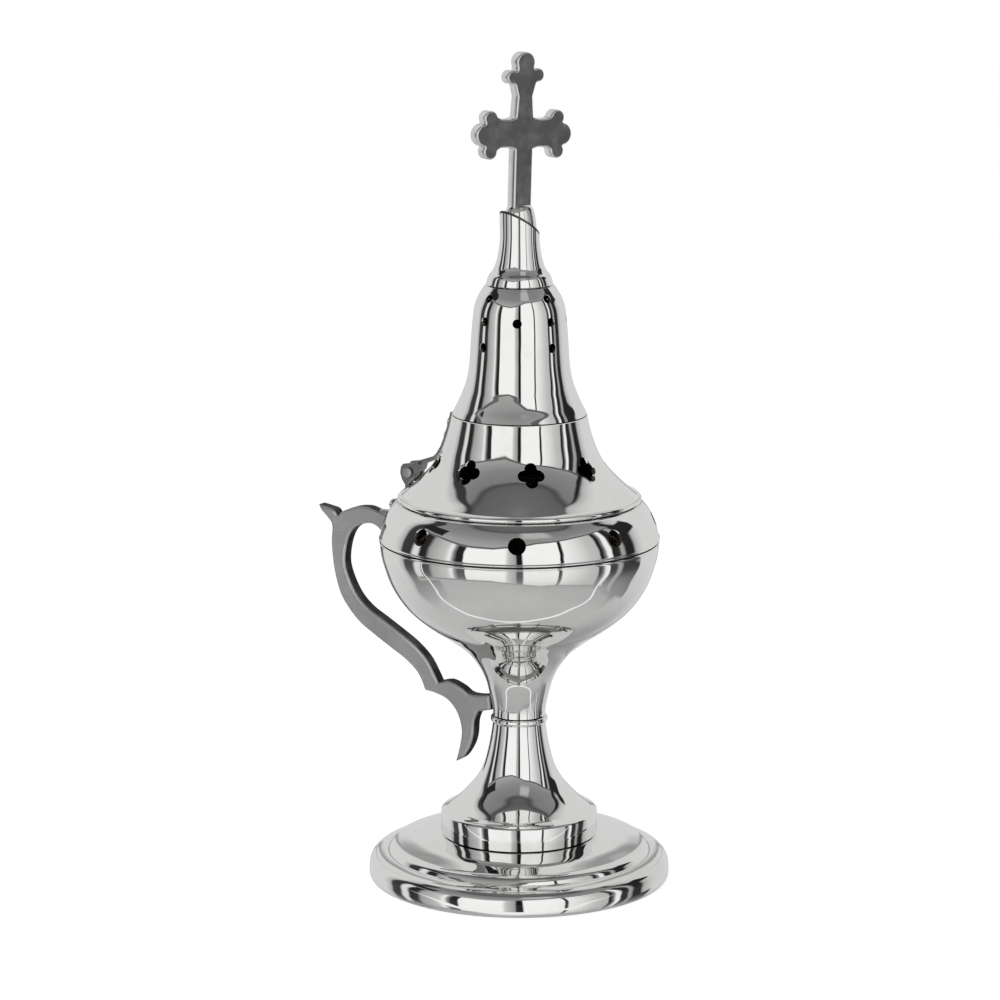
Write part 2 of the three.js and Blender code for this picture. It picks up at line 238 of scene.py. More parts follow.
def mix_colours(factor, a, b):
    """Colour a where the factor is 0, b where it is 1. The five sockets between are not for colours."""
    return add(factor.tree, "ShaderNodeMix", factor, *[None] * 5, a, b, data_type="RGBA", output=2)


def ends_of(tree):
    """A tree, its inputs by name, and the sockets of its result."""
    inputs = {s.name: Out(s) for s in tree.nodes.new("NodeGroupInput").outputs if s.name}
    return tree, inputs, tree.nodes.new("NodeGroupOutput").inputs


def group(name, inputs, outputs):
    """An empty shader node group with named sockets, and its two ends."""
    tree = bpy.data.node_groups.new(name, "ShaderNodeTree")
    for label, value in inputs:
        socket = tree.interface.new_socket(label, in_out="INPUT", socket_type="NodeSocketFloat")
        socket.default_value = value
    for label in outputs:
        tree.interface.new_socket(label, in_out="OUTPUT", socket_type="NodeSocketFloat")
    return ends_of(tree)


print("helpers ready")

# %% [markdown]
# A `card` is one rectangle of the studio, given in degrees left or right of the camera and
# above the horizon. Its mask fades over a soft edge.

# %% A studio card
card, c_in, c_out = group("card", [
    ("Azimuth", 0), ("Elevation", 0), ("Centre", 0), ("Half Width", 10), ("Middle", 0),
    ("Half Height", 10), ("Soft Edge", 1)], ["Mask"])
sides = []
for way, centre, half in (("Azimuth", "Centre", "Half Width"), ("Elevation", "Middle", "Half Height")):
    off = calc("ABSOLUTE", c_in[way] - c_in[centre])
    sides.append(((c_in[half] - off) / c_in["Soft Edge"] + 0.5).clamped())
feed(c_out["Mask"], sides[0] * sides[1])
print("card sockets:", [s.name for s in card.interface.items_tree])

# %% The world
# Grey of the walls by azimuth, from behind the camera round to the front: (degrees, value)
PANEL = 1.04
WALLS = [(-171, 0.72), (-168, 0.3), (-165, 0.72), (-122, 0.74), (-114, 0.5), (-111, 0.05), (-101, 0.04),
         (-97.5, 0.8), (-93, 0.8), (-90.5, 0.02), (-83, 0.03), (-79, 0.40), (-64, 0.62), (-59, 1.0),
         (-56, 0.3), (-53, 0.02), (-47.5, 0.02), (-46.5, PANEL)]
RIGHT = [(-13, PANEL), (-10, 0.62), (-3.5, 0.38), (-2.7, 0.01), (2.3, 0.01), (3.0, PANEL), (33.2, PANEL),
         (33.7, 0.01), (36.3, 0.01), (37, 1.0), (47, 0.86), (62, 0.6), (70.5, 0.55), (71.5, 0.02),
         (74, 0.02), (77, 0.3), (78.5, 1.0), (81.5, 1.0), (83, 0.02), (89, 0.03), (92, 0.45), (95, 0.3),
         (97, 0.02), (106, 0.02), (110, 0.5), (117, 0.66), (124, 0.74), (165, 0.72), (168, 0.3), (171, 0.72)]
# Grey above the panels, from the horizon at 0 to straight up at 1
CEILING = [(0.33, 0.42), (0.5, 0.27), (0.68, 0.22), (0.72, 0.08), (0.76, 0.13), (0.93, 0.16), (1.0, 0.2)]
SPLIT = -30
TO_FRONT = (math.sin(FRONT), -math.cos(FRONT), 0)
TO_RIGHT = (math.cos(FRONT), math.sin(FRONT), 0)
TO_DEGREES = 180 / math.pi

world = bpy.data.worlds.new("studio")
scene.world = world
world.use_nodes = True
wt = world.node_tree
wt.nodes.clear()
looking = add(wt, "ShaderNodeTexCoord", output="Generated")
forward = along(looking, TO_FRONT)
azimuth = calc("ARCTAN2", along(looking, TO_RIGHT), forward) * TO_DEGREES
elevation = calc("ARCSINE", along(looking, (0, 0, 1))) * TO_DEGREES


def walls(stops, low, high):
    """Grey by azimuth between two angles, from a Color Ramp."""
    factor = ((azimuth - low) / (high - low)).clamped()
    return ramp(factor, [((a - low) / (high - low), v / PANEL) for a, v in stops]) * PANEL


def mixed(factor, a, b):
    """a where the factor is 0, b where it is 1."""
    return a * (1.0 - factor) + b * factor


def place_card(under, centre, half_width, middle, half_height, value, soft):
    """One card over what is there already."""
    mask = add(wt, "ShaderNodeGroup", azimuth, elevation, centre, half_width, middle, half_height, soft,
               node_tree=card)
    return mixed(mask, under, value)


room = mixed(calc("GREATER_THAN", azimuth, SPLIT), walls(WALLS, -180, SPLIT), walls(RIGHT, SPLIT, 180))
# The panels end at 28 degrees on the left and at 37 on the right, and the ceiling starts there
top_edge = 28.0 + 9.0 * ((azimuth + 24.0) / 40.0).clamped()
above = elevation - top_edge
in_front = ((forward + 0.14) / 0.03).clamped()
room = mixed((above * 0.7 + 0.5).clamped() * in_front, room, ramp(elevation / 90.0, CEILING))
# A dark line runs along the edge
room = mixed(calc("COMPARE", above, 1.0, 1.0) * in_front * 0.75, room, 0.05)
room = place_card(room, 18, 15, 54, 8, 0.5, 6)
room = place_card(room, -91.5, 15, 37.5, 6, 0.02, 2)
room = place_card(room, 111.5, 9.5, 27, 10, 0.02, 2)

WHITE = (1, 1, 1, 1)
backdrop = mix_shaders(add(wt, "ShaderNodeLightPath", output="Is Camera Ray"),
                       add(wt, "ShaderNodeBackground", Color=room),
                       add(wt, "ShaderNodeBackground", Color=WHITE))
add(wt, "ShaderNodeOutputWorld", Surface=backdrop)
print("studio:", len(wt.nodes), "nodes")

# %% [markdown]
# ## Table
# The table is pale and a little glossy. The camera sees it white with the object's soft shadow;
# the metal sees it as a pale sheet that mirrors the panels where the view is shallow. Close in
# front of the foot a thin strip of the sheet glows with painted light, though it is no lamp, and
# the bowl mirrors it as a thin bright curve.

# %% Table
# The painted glowing strip: metres in front of the axis, rise to the right, half width and softness in metres
GLOW_STRIP_AT, GLOW_STRIP_RISE, GLOW_STRIP_HALF, GLOW_STRIP_SOFT = 0.047, 0.075, 0.0026, 0.0012
# Brightness of the table's own white to the camera, and its share
GLOW, GLOW_SHARE = 1.27, 0.72

bpy.ops.mesh.primitive_circle_add(vertices=96, radius=3.0, fill_type="NGON", location=(0, 0, 0))
table = bpy.context.object
table.name = "table"
table_paint = bpy.data.materials.new("table_paint")
table_paint.use_nodes = True
nt = table_paint.node_tree
nt.nodes.clear()
pale = add(nt, "ShaderNodeBsdfDiffuse", Color=(0.62, 0.62, 0.62, 1))
gloss = add(nt, "ShaderNodeBsdfAnisotropic", Color=WHITE, Roughness=0.03)
shallow = add(nt, "ShaderNodeLayerWeight", Blend=0.5, output="Facing")
sheet = mix_shaders(ramp(shallow, [(0.15, 0.0), (0.75, 0.97)], "EASE"), pale, gloss)
white = mix_shaders(GLOW_SHARE, pale, add(nt, "ShaderNodeEmission", Strength=GLOW))
# A thin strip of the table glows with painted light, which the camera does not see and the metal mirrors
spot = add(nt, "ShaderNodeTexCoord", output="Object")
from_glow_strip = calc("ABSOLUTE", along(spot, TO_FRONT) - along(spot, TO_RIGHT) * GLOW_STRIP_RISE - GLOW_STRIP_AT)
painted_glow_share = ((GLOW_STRIP_HALF - from_glow_strip) / GLOW_STRIP_SOFT).clamped()
with_painted_glow = mix_shaders(painted_glow_share, sheet, add(nt, "ShaderNodeEmission"))
tabletop = mix_shaders(add(nt, "ShaderNodeLightPath", output="Is Camera Ray"), with_painted_glow, white)
add(nt, "ShaderNodeOutputMaterial", Surface=tabletop)
table.data.materials.append(table_paint)

lamp = bpy.data.objects.new("soft_lamp", bpy.data.lights.new("soft_lamp", "AREA"))
scene.collection.objects.link(lamp)
lamp.data.shape, lamp.data.size, lamp.data.energy = "DISK", 0.7, 9
lamp.location = (-0.1, -0.75, 1.0)
lamp.rotation_euler = (Vector((0, 0, 0.1)) - lamp.location).to_track_quat("-Z", "Y").to_euler()
lamp.visible_glossy = False
scene.view_settings.view_transform = "Standard"
print("table and one soft lamp placed")

# %% [markdown]
# ## Finishes
# Each finish is a Principled shader fed by a few shared effects. `turning_rings` are the faint
# lines that a polishing mop leaves round a turned shell. `hand_polish` is the slight wave that
# makes the reflections of straight edges wander. `handling` is the haze left by fingers. They
# are groups, so that every metal uses the same ones with its own amounts.


# %% Shared effects
def object_point(tree):
    """Object coordinates in metres."""
    return add(tree, "ShaderNodeTexCoord", output="Object")


def noise(point, scale, detail, roughness=0.5):
    """Noise value between about 0.3 and 0.7 at a scale given per metre."""
    return add(point.tree, "ShaderNodeTexNoise", Vector=point, Scale=scale, Detail=detail,
               Roughness=roughness)


def bump(height):
    """The normal that a height in metres gives."""
    return add(height.tree, "ShaderNodeBump", Strength=1.0, Distance=1.0, Height=height)


def principled(name):
    """A new material, its tree and the sockets of its shader."""
    made = bpy.data.materials.new(name)
    made.use_nodes = True
    return made, made.node_tree, made.node_tree.nodes["Principled BSDF"].inputs


rings, g_in, g_out = group("turning_rings", [("Lines Per Metre", 1500)], ["Height"])
east, north, up = split(object_point(rings))
from_axis = calc("SQRT", calc("POWER", east, 2.0) + calc("POWER", north, 2.0))
feed(g_out["Height"], noise(combine(from_axis, 0, up), g_in["Lines Per Metre"], 1.0))

polish, g_in, g_out = group("hand_polish", [("Scale", 55)], ["Height", "Haze"])
point = object_point(polish)
feed(g_out["Height"], noise(point, g_in["Scale"], 1.5))
feed(g_out["Haze"], noise(point, g_in["Scale"] * 4.0, 4.0))

handling, g_in, g_out = group("handling", [("Scale", 38), ("Cover", 0.5)], ["Mask"])
point = object_point(handling)
patch = noise(point, g_in["Scale"], 3.0, 0.6)
speck = noise(point, g_in["Scale"] * 11.0, 2.0)
feed(g_out["Mask"], ((patch + speck * 0.25 - (1.12 - g_in["Cover"])) / 0.16).clamped())
print("effects:", rings.name, polish.name, handling.name)


# %% [markdown]
# A spun shell is bright outside and dull inside, where smoke has stained it. A mesh attribute
# named `inside` says which faces belong to the inner wall, so one material can show both. The same
# attribute marks the handle's sides, the cross's flat faces and a band under the neck's rim, where
# the stain colour is painted shade.

# %% Metal
def metal(name, colour, rough, darker, ring_depth, wave_depth, cover, rough_gain, pits=0.0, stain_and_painted_shade=None):
    """A polished metal: colour, roughness, colour in worn haze, depths of marks in metres, and the colour of
    faces marked inside: soot on shells, painted shade on castings and the neck's rim.
    """
    made, t, shader = principled(name)
    fine = add(t, "ShaderNodeGroup", node_tree=rings)
    wave = add(t, "ShaderNodeGroup", node_tree=polish)
    touch = add(t, "ShaderNodeGroup", node_tree=handling, Cover=cover)
    haze = wave.pick("Haze")
    roughness = rough + rough_gain * (haze + touch)
    base = mix_colours(touch * 0.5, (*colour, 1), (*darker, 1))
    feed(shader["Metallic"], 1.0)
    if stain_and_painted_shade is not None:
        # Faces marked inside take the stain colour: soot on inner walls, painted shade on the castings and
        # under the neck's rim
        inside = add(t, "ShaderNodeAttribute", attribute_name="inside", output="Fac")
        amount = inside * (0.72 + haze * 0.5).clamped()
        base = mix_colours(amount, base, (*stain_and_painted_shade, 1))
        roughness = (roughness + amount * 0.5).clamped()
        feed(shader["Metallic"], 1.0 - amount * 0.75)
    feed(shader["Base Color"], base)
    feed(shader["Roughness"], roughness)
    height = fine * ring_depth + wave * wave_depth
    if pits:
        height = height + noise(object_point(t), 900.0, 3.0, 0.7) * pits
    feed(shader["Normal"], bump(height))
    return made


# Soot on the inner walls; on the band under the neck's rim the same colour is painted shade
SOOT_AND_PAINTED_SHADE = (0.035, 0.026, 0.018)
nickel = metal("nickel_spun", (0.84, 0.84, 0.83), 0.01, (0.74, 0.74, 0.72), 0.5e-6, 3e-4, 0.45, 0.03,
               stain_and_painted_shade=SOOT_AND_PAINTED_SHADE)
# Its near-black stain colour on the handle's sides is painted shade
nickel_cast = metal("nickel_cast_file_finished", (0.56, 0.56, 0.555), 0.22, (0.4, 0.4, 0.395), 0.0,
                    3e-4, 0.55, 0.1, 2e-6, stain_and_painted_shade=(0.02, 0.02, 0.02))
nickel_hinge = metal("nickel_cast_worn_hinge", (0.33, 0.33, 0.325), 0.16, (0.16, 0.16, 0.155), 0.0,
                     3e-4, 0.62, 0.12, 2e-6)
# Its dark grey on the flat faces of the cross is painted shade
nickel_mould = metal("nickel_cast_dull_faced", (0.78, 0.78, 0.77), 0.04, (0.6, 0.6, 0.6), 0.0, 3e-4,
                     0.5, 0.06, 6e-6, stain_and_painted_shade=(0.11, 0.11, 0.11))
brass = metal("brass_sooted", (0.72, 0.58, 0.33), 0.24, (0.2, 0.15, 0.09), 1.2e-6, 2e-4, 0.62, 0.25,
              4e-6, stain_and_painted_shade=SOOT_AND_PAINTED_SHADE)
steel = metal("steel_zinc", (0.56, 0.57, 0.58), 0.25, (0.36, 0.36, 0.36), 2e-6, 0.0, 0.5, 0.15, 3e-6)
print("metals:", [m.name for m in (nickel, nickel_cast, nickel_hinge, nickel_mould, brass, steel)])


# %% [markdown]
# The base cloth is a thin green felt. Its short matted hairs are a fine tangle of bumps, with
# pale lint in the hollows, and it scatters light at grazing angles, which the sheen gives.

# %% Felt
HAIR_DEPTH = 1.5e-4
LINT = [(0.35, (0.05, 0.12, 0.075)), (0.6, (0.10, 0.21, 0.14)), (0.78, (0.22, 0.32, 0.25))]
felt, ft, shader = principled("felt_green")
feed(shader["Roughness"], 0.95)
feed(shader["Sheen Weight"], 0.35)
feed(shader["Base Color"], ramp(noise(object_point(ft), 420.0, 5.0, 0.7), LINT))
feed(shader["Normal"], bump(noise(object_point(ft), 1400.0, 6.0, 0.75) * HAIR_DEPTH))
print("felt:", felt.name)


# %% [markdown]
# ## Turned shells
# Every shell is a surface of revolution, so its shape follows one rule: an outline turned about
# the axis. The tree below takes the outline's points from the mesh it is given, lays a grid over
# (point, angle), moves each grid point to its place, and merges the seam and the poles.

# %% The turning tree
def geometry_tree(name, sockets):
    """A Geometry Nodes tree with named inputs, and its two ends."""
    tree = bpy.data.node_groups.new(name, "GeometryNodeTree")
    tree.is_modifier = True
    tree.interface.new_socket("Geometry", in_out="INPUT", socket_type="NodeSocketGeometry")
    tree.interface.new_socket("Geometry", in_out="OUTPUT", socket_type="NodeSocketGeometry")
    for label, kind in sockets:
        tree.interface.new_socket(label, in_out="INPUT", socket_type="NodeSocket" + kind)
    return ends_of(tree)


def end_tree(geometry, finish, result):
    """The last steps of a tree: one real mesh in one material."""
    real = add(geometry.tree, "GeometryNodeRealizeInstances", Geometry=geometry)
    feed(result["Geometry"], add(geometry.tree, "GeometryNodeSetMaterial", Geometry=real, Material=finish))


turning, t_in, t_out = geometry_tree("turning", [("Segments", "Int"), ("Finish", "Material")])
rows = add(turning, "GeometryNodeAttributeDomainSize", t_in["Geometry"], component="MESH",
           output="Point Count")
grid = add(turning, "GeometryNodeMeshGrid", Vertices_X=t_in["Segments"] + 1.0, Vertices_Y=rows)
index = add(turning, "GeometryNodeInputIndex")
column = calc("FLOOR", (index + 0.5) / rows)
across, _, up = split(add(
    turning, "GeometryNodeSampleIndex", data_type="FLOAT_VECTOR", domain="POINT",
    Geometry=t_in["Geometry"], Value=add(turning, "GeometryNodeInputPosition"),
    Index=index - column * rows))
place = polar(across, column / t_in["Segments"] * math.tau, up)
moved = add(turning, "GeometryNodeSetPosition", Geometry=grid, Position=place)
merged = add(turning, "GeometryNodeMergeByDistance", Geometry=moved, Distance=2e-6)
end_tree(merged, t_in["Finish"], t_out)


def grow(tree, start, **settings):
    """Runs a tree on a start mesh and returns the result as a plain mesh."""
    tool = bpy.data.objects.new("tool", start)
    scene.collection.objects.link(tool)
    modifier = tool.modifiers.new("grow", "NODES")
    modifier.node_group = tree
    for item in tree.interface.items_tree:
        key = item.name.replace(" ", "_")
        if item.in_out == "INPUT" and key in settings:
            modifier[item.identifier] = settings[key]
    made = bpy.data.meshes.new_from_object(tool.evaluated_get(bpy.context.evaluated_depsgraph_get()))
    bpy.data.objects.remove(tool)
    return made


print("turning tree:", len(turning.nodes), "nodes")

# %% [markdown]
# A mirror shows every flaw in a mesh's shading, and cutting holes makes odd faces. So each
# shell's normals come from its outline instead of from its faces: smooth along the curve, crisp
# at a corner. The same walk marks the faces of the inner wall.


# %% Turning a shell
def read(items, key, kind=float):
    """A property of mesh items as rows of three."""
    values = np.empty(len(items) * 3, kind)
    items.foreach_get(key, values)
    return values.reshape(-1, 3)


def volume(mesh):
    """Signed volume in cubic metres: positive where the faces point outwards."""
    mesh.calc_loop_triangles()
    corners = read(mesh.vertices, "co")[read(mesh.loop_triangles, "vertices", int)]
    a, b, c = corners.transpose(1, 0, 2)
    return float(np.einsum("ij,ij->i", a, np.cross(b, c)).sum() / 6)


def face_out(mesh):
    """Turns all faces of a closed mesh over if they point inwards."""
    if volume(mesh) < 0:
        mesh.flip_normals()
    return mesh


def anticlockwise(loop):
    """The closed outline as a list that runs anticlockwise."""
    area = sum(a[0] * b[1] - b[0] * a[1] for a, b in zip(loop, loop[1:] + loop[:1]))
    return list(loop) if area >= 0 else loop[::-1]


def turn(name, outline, finish, segments):
    """A closed outline of (radius, height) turned about the axis, as a mesh, and the outline."""
    pts = anticlockwise(outline)
    if pts[0][0] > 1e-6 or pts[-1][0] > 1e-6:
        pts.append(pts[0])
    line = bpy.data.meshes.new(name + "_outline")
    line.from_pydata([row(r, 0, z) for r, z in pts], [(i, i + 1) for i in range(len(pts) - 1)], [])
    mesh = grow(turning, line, Segments=segments, Finish=finish)
    mesh.name = name
    return face_out(mesh), np.array(pts)


def mark_inside(mesh, values):
    """Shades all faces smooth and gives each its value of the attribute `inside`."""
    mesh.polygons.foreach_set("use_smooth", np.ones(len(mesh.polygons), bool))
    mesh.attributes.new("inside", "FLOAT", "FACE").data.foreach_set("value", values)


def corner_blend(pts, corner):
    """Start, step, length and normal of each span of an outline, and the normals at its two ends."""
    d = np.diff(pts, axis=0)
    keep = np.linalg.norm(d, axis=1) > 1e-9
    a, d = pts[:-1][keep], d[keep]
    length = np.linalg.norm(d, axis=1)
    n = np.stack([d[:, 1], -d[:, 0]], 1) / length[:, None]
    cos = math.cos(math.radians(corner))
    start, end = n.copy(), n.copy()
    for i in range(len(n)):
        for j, ends in ((i - 1, start), ((i + 1) % len(n), end)):
            if n[i] @ n[j] > cos:
                m = n[i] * length[j] + n[j] * length[i]
                ends[i] = m / np.linalg.norm(m)
    return a, d, length, n, start, end


def shade_from_outline(mesh, pts, corner, inner=None):
    """Normals of a turned mesh from its outline. inner(place, normal) says which faces are inside."""
    a, d, length, n, start, end = corner_blend(pts, corner)
    count = len(mesh.polygons)
    centre, normal = read(mesh.polygons, "center") / MM, read(mesh.polygons, "normal")
    rho = np.hypot(centre[:, 0], centre[:, 1])
    unit = centre[:, :2] / np.maximum(rho, 1e-9)[:, None]
    face_n = np.stack([(normal[:, :2] * unit).sum(1), normal[:, 2]], 1)
    where = np.stack([rho, centre[:, 2] - DATUM], 1)
    t = np.clip(((where[:, None] - a) * d).sum(2) / length**2, 0, 1)
    gap = np.linalg.norm(a + t[..., None] * d - where[:, None], axis=2)
    score = gap + 3.0 * (1 - face_n @ n.T)
    best = score.argmin(1)
    on_wall = score[np.arange(count), best] < 0.9
    co = read(mesh.vertices, "co") / MM
    co[:, 2] -= DATUM
    normals = np.zeros((len(mesh.loops), 3))
    inside = np.zeros(count, np.float32)
    for poly in mesh.polygons:
        k = best[poly.index]
        if inner is not None and inner(where[poly.index], face_n[poly.index]):
            inside[poly.index] = 1
        if not on_wall[poly.index]:
            continue
        for li in poly.loop_indices:
            x, y, z = co[mesh.loops[li].vertex_index]
            r = math.hypot(x, y)
            u = ((r - a[k][0]) * d[k][0] + (z - a[k][1]) * d[k][1]) / length[k]**2
            u = min(max(u, 0), 1)
            m = start[k] * (1 - u) + end[k] * u
            m = m / np.linalg.norm(m)
            ux, uy = (x / r, y / r) if r > 1e-4 else tuple(unit[poly.index])
            normals[li] = (m[0] * ux, m[0] * uy, m[1])
    mark_inside(mesh, inside)
    mesh.normals_split_custom_set([tuple(v) for v in normals])
    mesh.update()
    return int(on_wall.sum()), int(inside.sum())


def finished(name, mesh, body, nodes):
    """Puts a mesh into the scene as a finished piece that stands for some CAD nodes."""
    ob = bpy.data.objects.new(name, mesh)
    scene.collection.objects.link(ob)
    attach(ob, body)
    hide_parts(*nodes)
    return ob


print("turning helpers ready")

# %% [markdown]
# ## Perforations
# Air goes in through round holes in the gallery ring, and smoke comes out through quatrefoils in
# the dome and small holes in the spire. They repeat round the axis, so one tree drills them all:
# it builds one drill (a core and, if asked, a ring of lobes, each with a cone that breaks the
# sharp edge), turns it to each azimuth, and subtracts the lot from the shell.

# %% The drilling tree
CORE_DEPTH, LOBE_DEPTH, CONE_DEPTH = 0.0082, 0.0078, 0.0012
drilling, d_in, d_out = geometry_tree("drilling", [
    ("Count", "Int"), ("First", "Float"), ("Left Out", "Int"), ("Wall Radius", "Float"),
    ("Height", "Float"), ("Tip", "Float"), ("Core Radius", "Float"), ("Lobes", "Int"),
    ("Lobe Radius", "Float"), ("Lobe Offset", "Float"), ("Edge Break", "Float"), ("Finish", "Material")])


def drill(radius, deep, sides):
    """A cylinder along Z and a cone over its outer end."""
    rod = add(drilling, "GeometryNodeMeshCylinder", Vertices=sides, Radius=radius, Depth=deep)
    cone = add(drilling, "GeometryNodeMeshCone", Vertices=sides, Depth=CONE_DEPTH,
               Radius_Bottom=radius - 0.0001, Radius_Top=radius + d_in["Edge Break"] * 3.0)
    down = combine(0, 0, d_in["Edge Break"] * -1.0)
    return rod, add(drilling, "GeometryNodeTransform", Geometry=cone, Translation=down)


def gathered(tree, kind, label, parts, **settings):
    """A node with one socket that takes several geometries."""
    made = add(tree, kind, **settings)
    for part in parts:
        feed(made.socket.node.inputs[label], part)
    return made


lobe_at = polar(d_in["Lobe Offset"], add(drilling, "GeometryNodeInputIndex") * (math.pi / 2))
lobes = add(drilling, "GeometryNodeSetPosition", Position=lobe_at,
            Geometry=add(drilling, "GeometryNodePoints", Count=d_in["Lobes"]))
parts = list(drill(d_in["Core Radius"], CORE_DEPTH, 40))
for part in drill(d_in["Lobe Radius"], LOBE_DEPTH, 32):
    parts.append(add(drilling, "GeometryNodeInstanceOnPoints", Points=lobes, Instance=part))
one = gathered(drilling, "GeometryNodeMeshBoolean", "Mesh 2", parts, operation="UNION", solver="MANIFOLD")
lying = add(drilling, "GeometryNodeTransform", Geometry=one, Rotation=Euler((0, math.pi / 2, 0)))
aimed = add(drilling, "GeometryNodeTransform", Geometry=lying, Rotation=combine(0, d_in["Tip"] * -1.0, 0),
            Translation=combine(d_in["Wall Radius"], 0, d_in["Height"]))
number = add(drilling, "GeometryNodeInputIndex")
kept = add(drilling, "FunctionNodeCompare", None, None, number, d_in["Left Out"], data_type="INT",
           operation="NOT_EQUAL")
drills = add(drilling, "GeometryNodeInstanceOnPoints", Instance=aimed, Selection=kept,
             Points=add(drilling, "GeometryNodePoints", Count=d_in["Count"]),
             Rotation=combine(0, 0, d_in["First"] + number * (math.tau / d_in["Count"])))
cut = add(drilling, "GeometryNodeMeshBoolean", operation="DIFFERENCE", solver="MANIFOLD",
          Mesh_1=d_in["Geometry"], Mesh_2=add(drilling, "GeometryNodeRealizeInstances", Geometry=drills))
end_tree(cut, d_in["Finish"], d_out)


def drilled(mesh, finish, count, first, r, z, tip, core_r, broken, lobe_r=0.0, offset=0.0, left_out=-1):
    """A shell with a ring of holes. Sizes in mm and degrees."""
    return grow(drilling, mesh, Count=count, First=math.radians(first), Left_Out=left_out,
                Wall_Radius=r * MM, Height=(z + DATUM) * MM, Tip=math.radians(tip),
                Core_Radius=core_r * MM, Lobes=4 if lobe_r else 0, Lobe_Radius=max(lobe_r, 0.1) * MM,
                Lobe_Offset=offset * MM, Edge_Break=broken * MM, Finish=finish)


def shell(name, outline, body, node, corner, inner, segments=144, holes=(), finish=nickel):
    """One turned shell: turned, drilled, shaded and put in its place."""
    mesh, pts = turn(name, outline, finish, segments)
    for hole in holes:
        mesh = drilled(mesh, finish, *hole)
    print(name, "faces on the outline and inside:", shade_from_outline(mesh, pts, corner, inner))
    finished(name, mesh, body, [node])


print("drilling tree:", len(drilling.nodes), "nodes")

# %% [markdown]
# ## Foot
# The foot is a stepped dish with a rounded rim. Its shell is hollow, a green cloth closes it
# from below, and the stem stands on its middle. The outline has every small step, because the
# steps are what catches the light.

# %% Foot
rim = smooth([(41.7, -0.5), (42.8, -0.5), (43.15, -0.1), (43.3, 0.6)], 9) + smooth(
    [(43.32, 1.6), (43.2, 3.3), (42.9, 4.4), (42.35, 5.3), (41.6, 6.0)], 14)
step = [(41.35, 6.02)] + smooth([(41.2, 6.1), (40.4, 6.5), (39.0, 6.85), (37.9, 7.05)], 9) + smooth(
    [(37.5, 7.2), (37.25, 7.7), (36.8, 8.5), (36.0, 9.15), (35.1, 9.5)], 10)
top = smooth([(34.6, 9.62), (30, 10.7), (26, 11.3), (22.8, SEAT_Z - GAP)], 14)
hollow = [(3.5, SEAT_Z - GAP), (3.5, 10.1)] + smooth(
    [(22, 10), (30, 9), (33.8, 8), (35.6, 6.2)], 12) + smooth(
    [(36.2, 5.6), (39.4, 5), (40.8, 3.9), (40.9, 0.8)], 8) + [(41.7, 0.8)]
shell("foot_shell", rim + step + top + hollow, "stand", "foot", 24,
      lambda w, n: n[1] < -0.3 and w[1] > 0 or (n[0] < -0.3 and w[0] > 3.6), 176)

# %% Base cloth
cloth = [(0, -0.8), (40.6, -0.8), (41.1, -0.65), (41.35, -0.3), (41.4, 0.1), (41.2, 0.5), (0, 0.5)]
shell("base_cloth", cloth, "stand", "base_felt", 60, None, 128, finish=felt)

# %% [markdown]
# ## Stem and bowl
# The stem is a drum that runs up into a trumpet. The bowl starts from the same waist and opens
# into a goblet. Both are spun over a former, so their walls follow one smooth curve.

# %% Stem
trumpet = smooth([(20, 20.1), (17.4, 22.2), (15.2, 24.5), (12.6, 27.6), (10.45, 31.5), (9.05, 36.2),
                  (8.1, 41), (7.6, 44.8)], 48)
drum = [(22.2, SEAT_Z), (22.45, SEAT_Z + 0.15), (22.5, SEAT_Z + 0.4), (22.5, 18.2)] + smooth(
    [(22.45, 18.6), (22.1, 19.0), (21.3, 19.5), (20.3, 19.95)], 6)
collar = smooth([(7.75, 45.0), (8.15, 45.4), (8.22, 45.9), (8.1, 46.4), (7.8, STEM_TOP)], 8)
hollow = [(20.7, SEAT_Z), (20.7, 17.1)] + inset(trumpet, STEM_WALL)[::3]
shell("stem_shell", drum + trumpet + collar + [(3.3, STEM_TOP), (3.3, 43.4)] + hollow[::-1], "stand",
      "stem", 24, lambda w, n: n[0] < -0.2 and w[0] > 3.5)

# %% Bowl
goblet = smooth([(7.5, STEM_TOP + GAP), (7.7, 49.5), (8.7, 54), (9.9, 58), (12, 62), (15.3, 66), (20.5, 70),
                 (26.4, 74), (31.2, 78), (34.5, 82), (36.8, 86), (38.3, 90), (39.4, 94), (39.85, 97.9)], 96)
lip = smooth([(39.9, 98.1), (39.8, 98.35), (39.5, BOWL_Z - 0.1)], 4) + [(38.4, BOWL_Z - 0.1)]
hollow = [p for p in inset(goblet, BOWL_WALL)[::2] if p[1] > 64.5]
floor = [(11, 63.5), (3.3, 63.5), (3.3, 60.5), (9.3, 60.5), (8, 57), (6.9, 54), (6, 50),
         (5.8, STEM_TOP + GAP)]
shell("bowl_shell", goblet + lip + hollow[::-1] + floor, "stand", "bowl", 24,
      lambda w, n: n[0] < 0.3 and w[1] > 63 and n[1] > -0.5, 176, [(1, 180, 8.4, DOWEL_Z, 0, 1.45, 0.1)])

# %% [markdown]
# ## Gallery ring
# The ring closes the bowl and carries the lid. A fine bead at its lower edge covers the seam and
# shows as a bright thread round the widest place.

